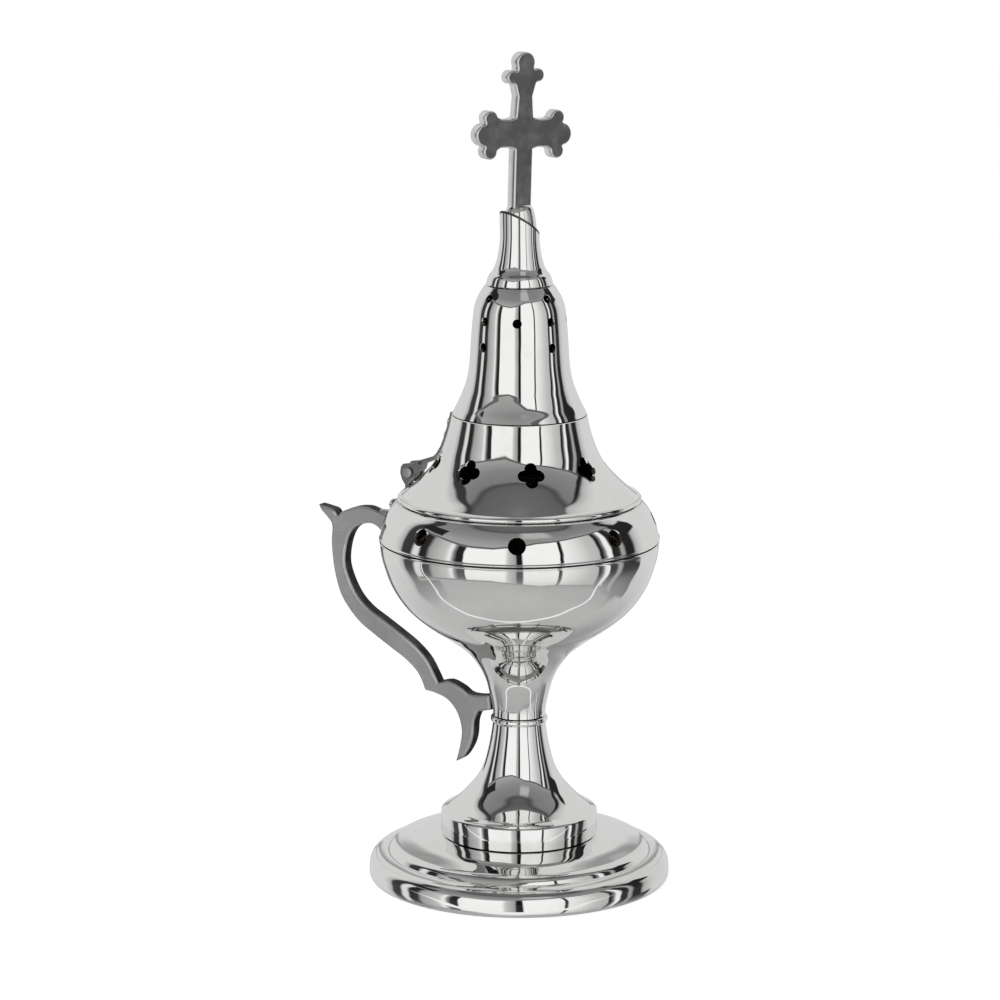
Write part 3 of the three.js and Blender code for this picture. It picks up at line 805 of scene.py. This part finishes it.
# %% Gallery ring
bead = smooth([(39.55, BOWL_Z + 0.2), (39.95, BOWL_Z + 0.35), (40.0, BOWL_Z + 0.65),
               (39.75, BOWL_Z + 0.95)], 8)
slope = smooth([(39.68, 99.6), (39.45, 100.7), (38.8, 103), (37.7, 105.6), (36.5, 107.6), (35.1, 109.15)], 36)
mouth = [(34.7, MOUTH_Z - 0.1), (34.4, MOUTH_Z), (32.9, MOUTH_Z), (32.5, MOUTH_Z - 0.15), (32.5, 109)]
hollow = [(35.1, 106.4), (37, 102.8), (37.8, 99.5), (36.4, 98.5), (36.4, 95.9), (37.5, 95.9),
          (37.7, BOWL_Z + 0.2)]
holes = [(8, -64, 38.6, 104.6, 22, 2.5, 0.3), (1, 180, 39.6, SCREW_Z, 0, 2.25, 0.1)]
holes += [(1, 180 + a, 38.2, 104.9, 24, 1.2, 0.1) for a in BRACKET_TURNS]
shell("gallery_ring_shell", bead + slope + mouth + hollow, "stand", "gallery_ring", 24,
      lambda w, n: n[0] < 0.1 and w[1] < 109.3 and n[1] < 0.9, 176, holes)

# %% [markdown]
# ## Charcoal cup
# A loose brass cup holds the charcoal. Use stains it, most of all on its floor.

# %% Charcoal cup
outside = [(0, 71.6), (18.6, 71.6)] + smooth([
    (19.3, 71.65), (20.6, 72.4), (21.6, 73.7), (23.8, 77.8), (25.6, 82), (27.2, 87), (28.4, 92),
    (28.9, 95)], 30)
roll = smooth([(29.3, 95.1), (30.2, 95.35), (30.45, 95.9), (30.1, 96.55), (29.2, 96.7), (28.1, 96.5),
               (27.5, 95.9)], 14)
hollow = smooth([(27.3, 95.2), (26.9, 92), (25.8, 87), (24.2, 82.6), (22.4, 78.4), (20.5, 74.9),
                 (18.8, 73.1)], 24) + [(17.6, 73.1), (0, 73.1)]
shell("cup_shell", outside + roll + hollow, "cup", "charcoal_cup", 40,
      lambda w, n: (n[0] < -0.1 or n[1] > 0.9) and w[1] < 95.5, 128, finish=brass)

# %% [markdown]
# ## Lid
# The lid is a flared dome with a rolled rim, a tower-like spire, and a waisted neck whose rim is
# cut on a slant. The quatrefoils leave one place free, where the hinge strap is riveted.

# %% Lid dome
flare = smooth([(32.9, 111.7), (30.3, 113.9), (28, 116.1), (26, 118.2), (24.4, 120.2), (22.9, 122.6),
                (21.7, 125.2), (20.4, 129), (19.5, 132.6), (19.2, DOME_Z - 0.15)], 72)
rim = [(31.8, MOUTH_Z + GAP), (34.0, MOUTH_Z + GAP)] + smooth(
    [(34.25, MOUTH_Z + GAP + 0.05), (34.6, 110.25), (34.65, 110.7), (34.4, 111.15), (34.0, 111.3)], 9)
hollow = inset(flare, DOME_WALL)[::-3] + [(31.8, 111)]
holes = [(8, -55, 24.05, 121.4, 32, 1.9, 0.3, 1.8, 2.0, 5)]
holes += [(1, 180, *seat, 1.2, 0.1) for seat in STRAP_SEATS]
shell("dome_shell", rim + [(33.45, 111.32)] + flare + [(19.0, DOME_Z)] + hollow, "lid", "lid_dome", 24,
      lambda w, n: n[0] < -0.1, 176, holes)
spigot = [(30.3, 107.1), (30.5, 106.9), (30.9, 106.9), (31.15, 107.0), (31.4, 107.4), (31.4, 110.7),
          (30.2, 110.7)]
shell("spigot_ring", spigot, "lid", "lid_spigot", 40, lambda w, n: n[0] < -0.5, 128)

# %% Lid spire
tower = smooth([(19.0, DOME_Z + GAP), (18.3, 136.2), (17.2, 138.4), (16.1, 141), (15.1, 143.8),
                (14.4, 147.2), (14, 151), (13.7, 156), (13.3, 161), (12.8, 165), (11.9, 167.8),
                (10.8, 169.8), (9.8, SPIRE_Z - 0.1)], 96)
hollow = [p for p in inset(tower, SPIRE_WALL)[::3] if DOME_Z + 1.9 < p[1] < SPIRE_Z - 0.9]
skirt = [(17.6, DOME_Z + 1.8), (16.2, DOME_Z + 0.2), (16.2, 132.4), (17.3, 132.4), (17.4, DOME_Z + GAP)]
holes = [(4, first, r, z, tip, 1.3, 0.25) for first, r, z, tip in (
    (-21, 13.75, 154.9, 4), (-21, 13.3, 162.2, 6), (-21, 11.55, 168.5, 32), (-66, 13.3, 162.2, 6))]
shell("spire_shell", tower + [(9.5, SPIRE_Z), (8.3, SPIRE_Z)] + hollow[::-1] + skirt, "lid",
      "lid_spire", 24, lambda w, n: n[0] < -0.1, holes=holes)

# %% [markdown]
# The neck's slanted rim is one straight cut through a turned sleeve. A half space does it: the
# bisect keeps what lies under the plane, and the two cut edges are bridged. A second plane just
# below marks a thin band under the rim, which is painted dark as shade.

# %% Lid neck
# Depth of the band under the rim that is painted dark as shade
PAINTED_SHADE_BAND = 0.6 * MM
sleeve = smooth([(9.4, SPIRE_Z + GAP), (9.1, 172.9), (8.65, 174.1), (7.95, 175.0), (7.25, 176.1),
                 (6.75, 177.4), (6.25, 179.2), (5.75, 182.2), (5.55, 185), (5.6, 189), (5.6, 193)], 72)
hollow = [(5.05, 193), (5.05, 183.6), (2.3, 183.6), (2.3, 169.4), (7.8, 169.4), (7.8, SPIRE_Z + GAP),
          (9.2, SPIRE_Z + GAP)]
neck, pts = turn("neck_shell", sleeve + hollow, nickel, 128)
aim_round = Matrix.Rotation(math.radians(RIM_TURN), 3, "Z")
upwards = aim_round @ Matrix.Rotation(math.radians(RIM_TILT), 3, "Y") @ Vector((0, 0, 1))
rim_point = Vector(row(0, 0, RIM_Z))
bm = bmesh.new()
bm.from_mesh(neck)
for below in (PAINTED_SHADE_BAND, 0):
    made = bmesh.ops.bisect_plane(bm, geom=bm.verts[:] + bm.edges[:] + bm.faces[:], plane_no=upwards,
                                  plane_co=rim_point - below * upwards, clear_outer=not below, dist=1e-7)
cut_edges = [e for e in made["geom_cut"] if isinstance(e, bmesh.types.BMEdge)]
loops = bmesh.ops.bridge_loops(bm, edges=cut_edges)
bm.to_mesh(neck)
bm.free()
shaded = shade_from_outline(neck, pts, 24, lambda w, n: n[0] < -0.3 and w[0] < 5.2)
print("neck:", shaded, "bridged", len(loops["faces"]))
# Faces in the band under the rim take the stain colour: painted shade
for poly in neck.polygons:
    if (poly.center - rim_point).dot(upwards) > -PAINTED_SHADE_BAND:
        neck.attributes["inside"].data[poly.index].value = 1
finished("neck_shell", neck, "lid", ["lid_neck"])

# %% [markdown]
# ## Castings
# The handle and the cross are flat castings whose edges were filed round. A plate like that is
# best described by one number at each point: the distance to its outline. Rings of points at
# growing depth are joined by a Delaunay triangulation, and the distance decides how thick the
# plate is there, so even a thin tip gets a soft edge.


# %% A rounded plate
def plate_distance(loop, points):
    """Distance from each point to a closed outline, negative inside."""
    a = np.array(loop)
    b = np.roll(a, -1, axis=0)
    d = b - a
    t = np.clip(((points[:, None] - a) * d).sum(2) / np.maximum((d * d).sum(1), 1e-12), 0, 1)
    near = np.linalg.norm(a + t[..., None] * d - points[:, None], axis=2).min(1)
    x, y = points[:, 0:1], points[:, 1:2]
    crosses = (a[:, 1] > y) != (b[:, 1] > y)
    at = a[:, 0] + (y - a[:, 1]) * d[:, 0] / np.where(np.abs(d[:, 1]) < 1e-12, 1e-12, d[:, 1])
    odd = (crosses & (x < at)).sum(1) % 2 == 1
    return np.where(odd, -near, near)


def even_steps(loop, step):
    """The closed outline again, with points about one step apart and its corners kept."""
    out = []
    for a, b in zip(loop, loop[1:] + loop[:1]):
        n = max(1, round(math.dist(a, b) / step))
        out += [(a[0] + (b[0] - a[0]) * k / n, a[1] + (b[1] - a[1]) * k / n) for k in range(n)]
    return out


def plate_points(loop, rounding, step):
    """The outline, rings of points inside it, and a staggered grid over the middle."""
    outline = np.array(loop)
    tangent = np.roll(outline, -1, axis=0) - np.roll(outline, 1, axis=0)
    inward = np.stack([-tangent[:, 1], tangent[:, 0]], 1) / np.linalg.norm(tangent, axis=1)[:, None]
    layers = [outline]
    for depth in rounding * np.array([0.06, 0.2, 0.42, 0.7, 1.0, 1.35]):
        ring_points = outline + inward * depth
        layers.append(ring_points[-plate_distance(loop, ring_points) > depth * 0.9])
    low, high = outline.min(0), outline.max(0)
    pitch = step * 2.6
    gx, gz = np.meshgrid(np.arange(low[0], high[0], pitch), np.arange(low[1], high[1], pitch))
    stagger = (np.arange(gx.size) // gx.shape[1] % 2) * pitch / 2
    cells = np.stack([gx.ravel() + stagger, gz.ravel()], 1)
    layers.append(cells[plate_distance(loop, cells) < -rounding * 1.8])
    return np.concatenate(layers)


def rounded_plate(name, loop, half, rounding, finish, darker, step, relief=None):
    """A plate in the XZ plane with rounded edges, in mm. The given test of a face's normal picks the faces
    painted darker as shade.
    """
    loop = anticlockwise(even_steps(loop, step))
    points, count = plate_points(loop, rounding, step), len(loop)
    rim_edges = [(i, (i + 1) % count) for i in range(count)]
    got, _, faces, origin, _, _ = delaunay_2d_cdt([Vector(p) for p in points], rim_edges, [], 1, 1e-5)
    flat = np.array([tuple(p) for p in got])
    depth = np.maximum(-plate_distance(loop, flat), 0)
    depth[np.array([any(s < count for s in source) for source in origin])] = 0
    u = np.clip(depth / rounding, 0, 1)
    thick = half - rounding * (1 - np.sqrt(1 - (1 - u) ** 2))
    if relief is not None:
        thick = thick + np.array([relief(deep) for deep in depth])
    front = [row(x, -t, z) for (x, z), t in zip(flat, thick)]
    rear = [row(x, t, z) for (x, z), t in zip(flat, thick)]
    n = len(flat)
    polys = [tuple(f) for f in faces] + [tuple(i + n for i in reversed(f)) for f in faces]
    sides = dict.fromkeys((i, j) for f in faces for i, j in zip(f, [*f[1:], f[0]]))
    polys += [(j, i, i + n, j + n) for i, j in sides if (j, i) not in sides]
    mesh = bpy.data.meshes.new(name)
    mesh.from_pydata(front + rear, [], polys)
    mesh.materials.append(finish)
    mesh.update()
    face_out(mesh)
    # Faces picked by the test are painted darker, as shade
    mark_inside(mesh, [float(darker(abs(face.normal.y))) for face in mesh.polygons])
    return mesh


def through(start, *runs):
    """Outline points along splines that start where the last one ended. A run of one point is a line."""
    out = [start]
    for run in runs:
        out += smooth([out[-1]] + run, 10 * len(run))[1:] if len(run) > 1 else run
    return out


print("plate helpers ready")

# %% [markdown]
# ## Handle
# One scroll: a thumb rest above, the grip, and a leaf tail below. The outline is taken once
# round. Positive distances are measured from the axis towards the handle, so x is their negative.

# %% Handle
scroll = through(
    (39, 103.3),
    [(41.3, 101.9), (43.3, 101.8), (47.7, 103.2), (50.3, 103.3), (53, 102.8), (56.6, 101.5), (58.6, 100.1)],
    [(59.7, 101.5), (62, 102.1), (64.9, 102.6)],
    [(63.9, 100.9), (61.9, 99), (60.5, 96.8), (60.7, 91.4), (59.9, 84), (58, 77.2), (55.1, 72.6),
     (51.2, 68.6), (46.5, 65.5), (41.2, 62.3), (36.2, 59.3), (32.6, 56.2), (30.9, 53.5), (29.8, 50.8)],
    [(26.4, 50.3), (22.4, 48.8), (19.4, 45.5), (17.9, 40.8), (18.2, 36.6), (19.7, 30.7)],
    [(17.2, 32.2), (15, 35.6), (13.9, 39), (13.5, 43.4), (12.3, 46.4)],
    [(8.1, 47.5)], [(8.6, 51.7)],
    [(12.3, 51.2), (15.4, 51.4), (18, 53), (21.9, 54.4), (25.4, 53.7)],
    [(26.4, 55.6), (29.2, 60.2), (33.4, 64.1), (38, 67.1), (43.5, 70.4), (48.4, 73.3), (51.9, 76.6),
     (54.4, 80.8), (55.9, 85), (56, 88.6), (55, 93.2), (53.2, 96.4), (50.4, 98.1), (47.6, 98.6),
     (45.3, 97.8), (43.4, 96), (41.8, 94.6), (39.9, 93.8)],
    [(40.3, 98.6)], [(39.9, 100.6)])
# The handle's sides take the finish's near-black colour: painted shade
handle = rounded_plate("handle_casting", [(-x, z) for x, z in scroll], HANDLE_T / 2, 0.75, nickel_cast,
                       lambda n: n < 0.25, 0.5)
print("handle:", len(handle.polygons), "faces, volume", round(volume(handle) * 1e6, 2), "cm3")
finished("handle_casting", handle, "stand", ["handle"])

# %% [markdown]
# ## Cross
# The arms end in three buds, and the limbs join in small curves. The outline is drawn as the
# union of simple forms: a distance for each, blended where they meet, and traced at zero.


# %% Tracing an outline
def trace(distance, low, high, cell):
    """Closed outline where a distance function is zero, by marching squares."""
    xs, zs = np.arange(low[0], high[0], cell), np.arange(low[1], high[1], cell)
    value = distance(np.stack(np.meshgrid(xs, zs), -1).reshape(-1, 2)).reshape(len(zs), len(xs))
    links = {}

    def cross_at(i, j, k, l):
        a, b = value[j, i], value[l, k]
        f = a / (a - b)
        return (round(xs[i] + (xs[k] - xs[i]) * f, 6), round(zs[j] + (zs[l] - zs[j]) * f, 6))

    for j in range(len(zs) - 1):
        for i in range(len(xs) - 1):
            corners = [(i, j), (i + 1, j), (i + 1, j + 1), (i, j + 1)]
            within = [value[b, a] < 0 for a, b in corners]
            if all(within) or not any(within):
                continue
            out, into = [], []
            for k in range(4):
                following = (k + 1) % 4
                if within[k] != within[following]:
                    (out if within[k] else into).append(cross_at(*corners[k], *corners[following]))
            for a, b in zip(into, out):
                links[a] = b
    best = []
    while links:
        start, point = next(iter(links.items()))
        loop = [start]
        del links[start]
        while point in links:
            loop.append(point)
            point = links.pop(point)
        if len(loop) > len(best):
            best = loop
    return best


def disc(x, z, r):
    """The distance to a disc."""
    return lambda p: np.hypot(p[:, 0] - x, p[:, 1] - z) - r


def blend_all(parts, soft):
    """The smooth union of some distances."""
    def distance(p):
        total = parts[0](p)
        for part in parts[1:]:
            other = part(p)
            h = np.clip(0.5 + 0.5 * (total - other) / soft, 0, 1)
            total = total * (1 - h) + other * h - soft * h * (1 - h)
        return total
    return distance


half = [(2.85, 192.5), (2.85, 209.6), (4.6, 210.1), (7.4, 210), (9.4, 208.9), (11, 211), (11, 216.6),
        (9.4, 218.9), (7.4, 218), (4.6, 217.9), (2.85, 218.4), (2.4, 224.2), (3.6, 228.4), (2.4, 232.6)]
limbs = half + [(-x, z) for x, z in reversed(half)]
forms = [lambda p: plate_distance(limbs, p)]
for s in (-1, 1):
    forms.append(disc(s * 12.1, CROSS_Z, 3.15))
    forms += [disc(s * 10.7, CROSS_Z + t * 4.65, 2.1) for t in (-1, 1)]
    forms.append(disc(s * 4, 229.8 + s * 0.3, 1.9))
forms.append(disc(0, 233.6, 2.9))
cross_outline = trace(blend_all(forms, 0.5), (-17, 190), (17, 238), 0.28)
print("cross outline:", len(cross_outline), "points")


# %% Cross
def swell(depth):
    """The buds are slightly domed, and a shallow line runs inside the edge."""
    return 0.16 * min(max(depth - 0.9, 0), 1.6) / 1.6 - 0.1 * math.exp(-((depth - 1.15) / 0.22) ** 2)


# The cross's flat faces take the finish's dark grey: painted shade
cross = rounded_plate("cross_casting", cross_outline, 2.05, 0.6, nickel_mould, lambda n: n > 0.93, 0.34,
                      swell)
base = Vector(row(0, 0, CROSS_BASE))
lean = Matrix.Rotation(math.radians(CROSS_LEAN), 4, "Y")
cross.transform(Matrix.Translation(base) @ lean @ Matrix.Translation(-base))
boss_line = [(0, 190), (2.3, 190), (2.3, 184), (4.5, 184), (4.68, 184.2)] + smooth(
    [(4.72, 184.8), (4.75, 187), (4.5, 189.6), (4, 192), (3.2, 193.6), (2, 194.4), (0, 194.55)], 28)
boss, pts = turn("boss", boss_line, nickel_mould, 64)
shade_from_outline(boss, pts, 30)
joined = bmesh.new()
joined.from_mesh(cross)
joined.from_mesh(boss)
joined.to_mesh(cross)
joined.free()
cross.transform(Matrix.Rotation(math.radians(CROSS_TURN), 4, "Z"))
print("cross:", len(cross.polygons), "faces, volume", round(volume(cross) * 1e6, 2), "cm3")
finished("cross_casting", cross, "lid", ["cross"])

# %% [markdown]
# ## Hinge
# The bracket and the strap are small castings with plain shapes, so their solids are right as
# they are. A copy of each is welded, its flat faces are made one, and its edges are broken with
# a Bevel, because no cast edge is sharp.


# %% Hinge castings
def paint(mesh, finish):
    """Gives a mesh one finish."""
    mesh.materials.clear()
    mesh.materials.append(finish)


def softened(name, node, body):
    """A merged copy of a CAD node with broken edges."""
    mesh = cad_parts[node].data.copy()
    mesh.name = name
    paint(mesh, nickel_hinge)
    work = bmesh.new()
    work.from_mesh(mesh)
    bmesh.ops.remove_doubles(work, verts=work.verts, dist=2e-6)
    bmesh.ops.dissolve_limit(work, angle_limit=math.radians(1.5), verts=work.verts, edges=work.edges)
    for face in work.faces:
        face.smooth = True
        face.material_index = 0
    work.to_mesh(mesh)
    work.free()
    ob = finished(name, mesh, body, [node])
    bevel = ob.modifiers.new("broken_edges", "BEVEL")
    bevel.width, bevel.segments, bevel.limit_method = 0.18 * MM, 3, "ANGLE"
    bevel.angle_limit = math.radians(32)
    bevel.harden_normals = True
    bevel.use_clamp_overlap = True


softened("hinge_bracket_casting", "hinge_bracket", "stand")
softened("hinge_strap_casting", "hinge_strap", "lid")
print("hinge castings softened")

# %% [markdown]
# ## Rivets, pin and screws
# Every rivet, pin and screw is the same idea: a shank with a head at one or both ends. The tree
# takes one edge for each, from its inner seat to its outer seat, and sets a shank along the edge
# and a domed head on each end. The edge's direction is captured first, because the points that
# replace the edges have no direction of their own.

# %% The riveting tree
riveting, r_in, r_out = geometry_tree("riveting", [
    ("Shank Radius", "Float"), ("Head Radius", "Float"), ("Head Height", "Float"), ("Finish", "Material")])
seat_1 = add(riveting, "GeometryNodeInputMeshEdgeVertices", output="Position 1")
seat_2 = seat_1.pick("Position 2")
span = vector("SUBTRACT", seat_2, seat_1)
capture = riveting.nodes.new("GeometryNodeCaptureAttribute")
capture.domain = "EDGE"
capture.capture_items.new("VECTOR", "Span")
feed(capture.inputs["Geometry"], r_in["Geometry"])
feed(capture.inputs["Span"], span)
edges, noted = Out(capture.outputs["Geometry"]), Out(capture.outputs["Span"])
aim = add(riveting, "FunctionNodeAlignRotationToVector", axis="Z", Vector=noted)


def set_along(position, instance, scale):
    """An instance at a place of each edge, turned along it."""
    points = add(riveting, "GeometryNodeMeshToPoints", mode="EDGES", Mesh=edges, Position=position)
    return add(riveting, "GeometryNodeInstanceOnPoints", Points=points, Instance=instance, Rotation=aim,
               Scale=scale)


shank = add(riveting, "GeometryNodeMeshCylinder", Vertices=24, Radius=r_in["Shank Radius"], Depth=1.0)
middle = vector("ADD", seat_1, vector("SCALE", span, Scale=0.5))
parts = [set_along(middle, shank, combine(1, 1, vector("LENGTH", noted, output="Value")))]
ball = add(riveting, "GeometryNodeMeshUVSphere", Segments=28, Rings=14, Radius=1.0)
head_size = combine(r_in["Head Radius"], r_in["Head Radius"], r_in["Head Height"])
parts += [set_along(seat, ball, head_size) for seat in (seat_1, seat_2)]
real = add(riveting, "GeometryNodeRealizeInstances",
           Geometry=gathered(riveting, "GeometryNodeJoinGeometry", "Geometry", parts))
end_tree(add(riveting, "GeometryNodeSetShadeSmooth", Geometry=real), r_in["Finish"], r_out)
print("riveting tree:", len(riveting.nodes), "nodes")


# %% Rivets
def seat_line(r, z, tip, azimuth, inner, outer):
    """The two ends of a rivet through a wall: radius, height, tip and azimuth of its middle."""
    t, a = math.radians(tip), math.radians(azimuth)
    reach = [(r + s * math.cos(t), z + s * math.sin(t)) for s in (inner, outer)]
    return [row(x * math.cos(a), x * math.sin(a), h) for x, h in reach]


def riveted(name, lines, body, nodes, finish, shank_r, head_r, head_h):
    """Rivets along the given lines as one mesh."""
    seat = bpy.data.meshes.new(name + "_seats")
    pairs = [(2 * i, 2 * i + 1) for i in range(len(lines))]
    seat.from_pydata([end for line in lines for end in line], pairs, [])
    mesh = grow(riveting, seat, Shank_Radius=shank_r * MM, Head_Radius=head_r * MM,
                Head_Height=head_h * MM, Finish=finish)
    mesh.name = name
    print(name, len(lines), "rivets,", len(mesh.polygons), "faces")
    finished(name, mesh, body, nodes)


riveted("bracket_rivets", [seat_line(38, 104.9, 24, 180 + a, -2.3, 1.9) for a in BRACKET_TURNS], "stand",
        ["bracket_rivet_1", "bracket_rivet_2"], nickel, 0.95, 1.4, 0.75)
riveted("strap_rivets", [seat_line(*seat, 180, -2, 2.1) for seat in STRAP_SEATS], "lid",
        ["strap_rivet_1", "strap_rivet_2"], nickel, 0.95, 1.65, 0.75)
riveted("hinge_pin_rivet", [[row(PIVOT[0], side, PIVOT[1]) for side in (-PIN_HALF, PIN_HALF)]], "stand",
        ["hinge_pin"], steel, 1.0, 1.6, 0.5)

# %% [markdown]
# The rod, the studs, nuts and washers are ordinary hardware, and most of it is hidden. Their
# solids stay as they are. They get the zinc finish.

# %% Hardware
shown = [name for name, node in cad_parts.items() if not node.hide_render]
for name in shown:
    paint(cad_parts[name].data, steel)
print("hardware in zinc:", shown)
